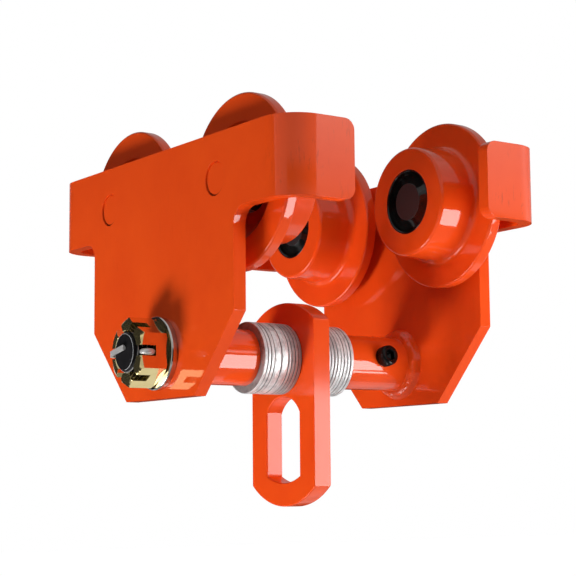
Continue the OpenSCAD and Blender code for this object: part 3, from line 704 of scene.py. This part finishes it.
# Castle nut, washer and split pin. Steel, turned or formed and then zinc plated and passivated,
# which leaves the nut bright and yellow. One leg of the pin is bent over the shaft's end.
NUT_EDGE = 0.25 * MM
PIN_EDGE = 0.1 * MM
nut_zinc = turned_metal("nut_zinc", (0.86, 0.73, 0.36, 1), (0.80, 0.65, 0.30, 1),
                        roughness=0.07, axis=SHAFT_AXIS, fineness=1800, relief=0.02, metallic=0.97)
washer_zinc = turned_metal("washer_zinc", (0.66, 0.64, 0.60, 1), (0.46, 0.44, 0.41, 1),
                           roughness=0.14, axis=SHAFT_AXIS, fineness=2600, relief=0.24)
pin_steel = turned_metal("pin_steel", (0.74, 0.73, 0.72, 1), (0.60, 0.59, 0.58, 1),
                         roughness=0.34, axis=SHAFT_AXIS, fineness=4200, relief=0.10, metallic=0.45)
for name, finish, edge in (("nut_washer", washer_zinc, NUT_EDGE),
                           ("castle_nut", nut_zinc, NUT_EDGE), ("split_pin", pin_steel, PIN_EDGE)):
    wear(parts[name], finish)
    round_edges(parts[name], edge)

# Spacers. Plain washers, punched and turned, stacked on both sides of the hanger plate so that
# the trolley can be set to the width of the beam. Each has its own edge rounding and tone, and
# the ones beside the hanger plate are darkened as painted shade.
THIN = 2.5 * MM
THICK = 5.0 * MM
SPACER_R = 22.2 * MM
SPACER_BORE = 12.25 * MM
SEAM = 0.02 * MM
STACK_OUT = 33.7 * MM
SPACER_STEPS = 128
# For each spacer in turn: its edge rounding, how much smaller it is, and its tone, 1 the palest.
# The tone differs from spacer to spacer, and the last four, beside the hanger plate, are darker
# as painted shade.
EDGES = (0.45 * MM, 0.6 * MM, 0.38 * MM, 0.5 * MM)
UNDERSIZES = (0.0, 0.12 * MM, 0.05 * MM, 0.16 * MM, 0.02 * MM)
SPACER_TONES_AND_SHADE = (0.8, 1.0, 0.85, 1.0, 0.95, 0.5, 0.25, 0.4, 0.1)
# Painted shade on each corner of a spacer's section, 1 the darkest: full on the faces that touch
# a neighbour, half over the rounded corners, and 0.6 on the open outward face of the first spacer
SEAM_SHADE = (1, 1, 0.55, 0, 0, 0.55, 1, 1)
FIRST_SHADE = (1, 1, 0.55, 0, 0, 0, 0.6, 0.6)
DULL_ZINC = (0.44, 0.45, 0.455, 1)
BRIGHT_ZINC = (0.88, 0.92, 0.92, 1)
ZINC_CLOUD = (0.34, 0.32, 0.33, 1)
ZINC_STREAK = (0.26, 0.24, 0.24, 1)
SEAM_SHADE_COLOUR = (0.035, 0.032, 0.032, 1)
near_stack = (THIN, THIN, THIN, THICK, THICK, THIN, THIN, THIN, THIN)
far_stack = (THIN, THIN, THIN, THIN, THIN, THIN, THIN, THICK, THICK)
spacer_metal, spacer_tree, spacer_surface = new_material("spacer_metal")
spacer_place = place_on_piece(spacer_tree)
spacer_rings = rings_about(spacer_tree, SHAFT_AXIS, 5200)
spacer_tone_and_shade = spacer_tree.nodes.new("ShaderNodeAttribute")
spacer_tone_and_shade.attribute_name = "tone"
spacer_cloud = noise(spacer_tree, spacer_place, 130, 5, 0.65)
spacer_pits = noise(spacer_tree, spacer_place, 1900, 3, 0.6)
spacer_streak = noise(spacer_tree, spacer_place, 200, 3, 0.6, (1, 0.07, 1))  # round the rim
# Painted shade: the spacers beside the hanger plate get a darker tone
spacer_base = mix_colour(spacer_tree, spacer_tone_and_shade.outputs["Fac"], DULL_ZINC, BRIGHT_ZINC)
spacer_base = mix_colour(spacer_tree, remap(spacer_tree, spacer_cloud, 0.45, 0.72, 0, 0.7),
                         spacer_base, ZINC_CLOUD)
spacer_base = mix_colour(spacer_tree, remap(spacer_tree, spacer_streak, 0.52, 0.64, 0, 0.5),
                         spacer_base, ZINC_STREAK)
# Painted shade: a dark colour where the spacers meet and on the open face of the first one
spacer_seam_shade = spacer_tree.nodes.new("ShaderNodeAttribute")
spacer_seam_shade.attribute_name = "seam"
spacer_base = mix_colour(spacer_tree, spacer_seam_shade.outputs["Fac"], spacer_base, SEAM_SHADE_COLOUR)
spacer_tree.links.new(spacer_base, spacer_surface.inputs["Base Color"])
spacer_surface.inputs["Metallic"].default_value = 0.45
spacer_rough = remap(spacer_tree, spacer_cloud, 0.3, 0.7, 0.32, 0.46)
spacer_rough = math_node(spacer_tree, "ADD", spacer_rough,
                         remap(spacer_tree, spacer_pits, 0.55, 0.75, 0, 0.12))
spacer_tree.links.new(spacer_rough, spacer_surface.inputs["Roughness"])
spacer_height = math_node(spacer_tree, "MULTIPLY_ADD", spacer_pits, 0.25, spacer_rings["Height"])
spacer_tree.links.new(bump_from(spacer_tree, spacer_height, 0.35, 0.12 * MM),
                      spacer_surface.inputs["Normal"])


def spacer_stack(side, sign, stack):
    """One closed ring for each spacer, from the sleeve inwards."""
    points, faces, tones_and_shade, seam_shades = [], [], [], []
    outer = STACK_OUT
    for order, thick in enumerate(stack):
        high, low = outer - SEAM, outer - thick + SEAM
        outer -= thick
        edge = EDGES[order % len(EDGES)]
        rim = SPACER_R - UNDERSIZES[order % len(UNDERSIZES)]
        soft = edge * (1 - math.sqrt(0.5))
        profile = [(SPACER_BORE, low), (rim - edge, low), (rim - soft, low + soft),
                   (rim, low + edge), (rim, high - edge), (rim - soft, high - soft),
                   (rim - edge, high), (SPACER_BORE, high)]
        start = len(points)
        for turn in range(SPACER_STEPS):
            angle = 2 * math.pi * turn / SPACER_STEPS
            points += [(radius * math.cos(angle), sign * y, SHAFT_Z + radius * math.sin(angle))
                       for radius, y in profile]
            # Painted shade for each corner of the section
            seam_shades += SEAM_SHADE if order else FIRST_SHADE
        count = len(profile)
        for turn in range(SPACER_STEPS):
            here, there = start + turn * count, start + (turn + 1) % SPACER_STEPS * count
            for corner in range(count):
                after = (corner + 1) % count
                face = (here + corner, here + after, there + after, there + corner)
                faces.append(face if sign > 0 else face[::-1])
                tones_and_shade.append(SPACER_TONES_AND_SHADE[order])
    mesh = bpy.data.meshes.new(f"{side}_spacer_stack")
    mesh.from_pydata(points, [], faces)
    mesh.attributes.new("tone", "FLOAT", "FACE").data.foreach_set("value", tones_and_shade)
    mesh.attributes.new("seam", "FLOAT", "POINT").data.foreach_set("value", seam_shades)
    mesh.polygons.foreach_set("use_smooth", [True] * len(faces))
    mesh.set_sharp_from_angle(angle=math.radians(50))
    rings = bpy.data.objects.new(f"{side}_spacer_stack", mesh)
    scene.collection.objects.link(rings)
    wear(rings, spacer_metal)
    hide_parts(f"{side}_spacers")
    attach(rings, "frame")


spacer_stack("near", -1, near_stack)
spacer_stack("far", 1, far_stack)

# The studio. A pale floor in a white room. Six soft lamps light the trolley: low at the right,
# low in front, a panel beyond its right end, one high at either side of the lens, and one behind.
FLOOR_DROP = 0.75
FLOOR_REACH = 14.0
floor_mesh = bpy.data.meshes.new("floor")
floor_corners = [(FLOOR_REACH * x, FLOOR_REACH * y, -FLOOR_DROP)
                 for x, y in ((-1, -1), (1, -1), (1, 1), (-1, 1))]
floor_mesh.from_pydata(floor_corners, [], [(0, 1, 2, 3)])
floor = bpy.data.objects.new("floor", floor_mesh)
scene.collection.objects.link(floor)
floor_paper, floor_tree, floor_surface = new_material("floor_paper")
floor_surface.inputs["Base Color"].default_value = (0.85, 0.85, 0.85, 1)
floor_surface.inputs["Roughness"].default_value = 0.9
floor_surface.inputs["Emission Color"].default_value = (1, 1, 1, 1)
floor_reach = floor_tree.nodes.new("ShaderNodeVectorMath")
floor_reach.operation = "LENGTH"
floor_tree.links.new(place_on_piece(floor_tree), floor_reach.inputs[0])
floor_glow = remap(floor_tree, floor_reach.outputs["Value"], 0.8, 3.0, 0.25, 0.9)
floor_path = floor_tree.nodes.new("ShaderNodeLightPath")
floor_seen = math_node(floor_tree, "MAXIMUM", floor_path.outputs["Is Glossy Ray"],
                       floor_path.outputs["Is Transmission Ray"])
floor_seen = math_node(floor_tree, "MAXIMUM", floor_path.outputs["Is Camera Ray"], floor_seen)
floor_tree.links.new(math_node(floor_tree, "MULTIPLY", floor_glow, floor_seen),
                     floor_surface.inputs["Emission Strength"])
wear(floor, floor_paper)
floor.visible_glossy = False


def softbox(name, place, target, width, height, radiance):
    """A rectangular lamp that faces its target, and that neither lens nor mirror sees."""
    light = bpy.data.lights.new(name, "AREA")
    light.shape = "RECTANGLE"
    light.size = width
    light.size_y = height
    light.energy = radiance * math.pi * width * height
    box = bpy.data.objects.new(name, light)
    box.location = place
    box.rotation_euler = (Vector(target) - Vector(place)).to_track_quat("-Z", "Y").to_euler()
    box.visible_camera = False
    box.visible_glossy = False
    scene.collection.objects.link(box)


# Name, place, the point it faces, its width and height, and its brightness, where 1 is white
softbox("low_right", (0.4008, 0.2179, -0.1825), (-0.387, -0.398, -0.1825), 0.25, 0.275, 7.4)
softbox("low_front", (-0.30, -0.68, -0.70), (0, -0.02, -0.02), 0.36, 0.36, 30.0)
softbox("right_panel", (0.98, 0.69, 0.45), (0, 0, 0.1), 1.2, 0.5, 1.0)
softbox("left_key", (-0.3, -1.3, 0.9), (0, -0.05, 0), 0.9, 0.9, 1.3)
softbox("front_panel", (1.0, -0.35, 0.40), (0.1, -0.05, 0.05), 0.6, 0.6, 2.3)
softbox("back_panel", (-0.35, 1.3, 0.45), (0, 0.08, 0), 0.8, 0.8, 5.0)

# What the enamel and the bright metal mirror: the white room, the floor, the soft lights, and
# the dark cloths round the camera. The lens sees none of it, only plain white.
world =bpy.data.worlds.new("studio_white")
scene.world = world
world.use_nodes = True
room = world.node_tree
sky = room.nodes["Background"]
sky.inputs["Color"].default_value = (1, 1, 1, 1)
look = room.nodes.new("ShaderNodeSeparateXYZ")
room.links.new(room.nodes.new("ShaderNodeTexCoord").outputs["Generated"], look.inputs[0])
bearing = math_node(room, "ARCTAN2", look.outputs["Y"], look.outputs["X"])
bearing = math_node(room, "DEGREES", bearing)
height = math_node(room, "DEGREES", math_node(room, "ARCSINE", look.outputs["Z"]))
# Each patch of the room, in degrees: from and to its bearing, which counts from +X to +Y, from
# and to its height over the horizon, its brightness, where 1 is white, and how far it fades in
# from its borders. Later patches cover earlier ones.
room_patches = [
    (-200, 200, 26, 95, 0.60, 6),  # ceiling
    (-200, -101, -28, 50, 0.02, 1),  # black cloth at the left
    (-101, 40, -28, 30, 0.50, 3),  # grey wall in front
    (-63, 30, -26, 11.7, 0.02, 0.4),  # black cloth round the camera
    (-66, 34, 9.7, 10.75, 0.45, 0.3),  # its pale hem
    (28, 75, 9.5, 20, 2.9, 5),  # high light at the right
    (28, 75, 20, 32, 0.05, 2),  # dark gap over it
    (30, 70, 4.1, 9.5, 0.03, 0.5),  # dark gap under it
    (84, 204, 0, 95, 0.40, 6),  # wall behind
    (116, 172, -27, 1, 0.02, 2),  # dark table before that wall
    (90, 140, -64, -38, 0.80, 4),  # pale floor behind
    (30, 48.8, -41, 3.9, 9.2, 0.6),  # low light at the right
    (42.5, 56, -31, 3.9, 0.3, 0.8),  # dim edge beside it
    (-138, -96, -54, -34, 5.5, 2),  # low light in front
]
# Under all patches lies the floor, paler towards the horizon, and the white wall over it
shown = remap(room, height, -43, -14, 0.25, 0.9)
shown = math_node(room, "MAXIMUM", shown, remap(room, height, -3, 0, 0, 1))
for west, east, low, high, bright, blur in room_patches:
    inside = remap(room, bearing, west, west + blur, 0, 1)
    for value, border, within in ((bearing, east, east - blur), (height, low, low + blur),
                                  (height, high, high - blur)):
        side_mask = remap(room, value, border, within, 0, 1)
        inside = math_node(room, "MULTIPLY", inside, side_mask)
    change = math_node(room, "SUBTRACT", bright, shown)
    shown = math_node(room, "MULTIPLY_ADD", inside, change, shown)
# Mirrors show the patches, the lens sees plain white, and all else gets a weak even light
EVEN_LIGHT = 0.1
path = room.nodes.new("ShaderNodeLightPath")
mirrored = math_node(room, "MULTIPLY", shown, path.outputs["Is Glossy Ray"])
seen = math_node(room, "MAXIMUM", path.outputs["Is Camera Ray"],
                 path.outputs["Is Transmission Ray"])
direct = math_node(room, "MAXIMUM", seen, path.outputs["Is Glossy Ray"])
even = remap(room, direct, 0, 1, EVEN_LIGHT, 0)
light = math_node(room, "ADD", math_node(room, "ADD", mirrored, seen), even)
room.links.new(light, sky.inputs["Strength"])
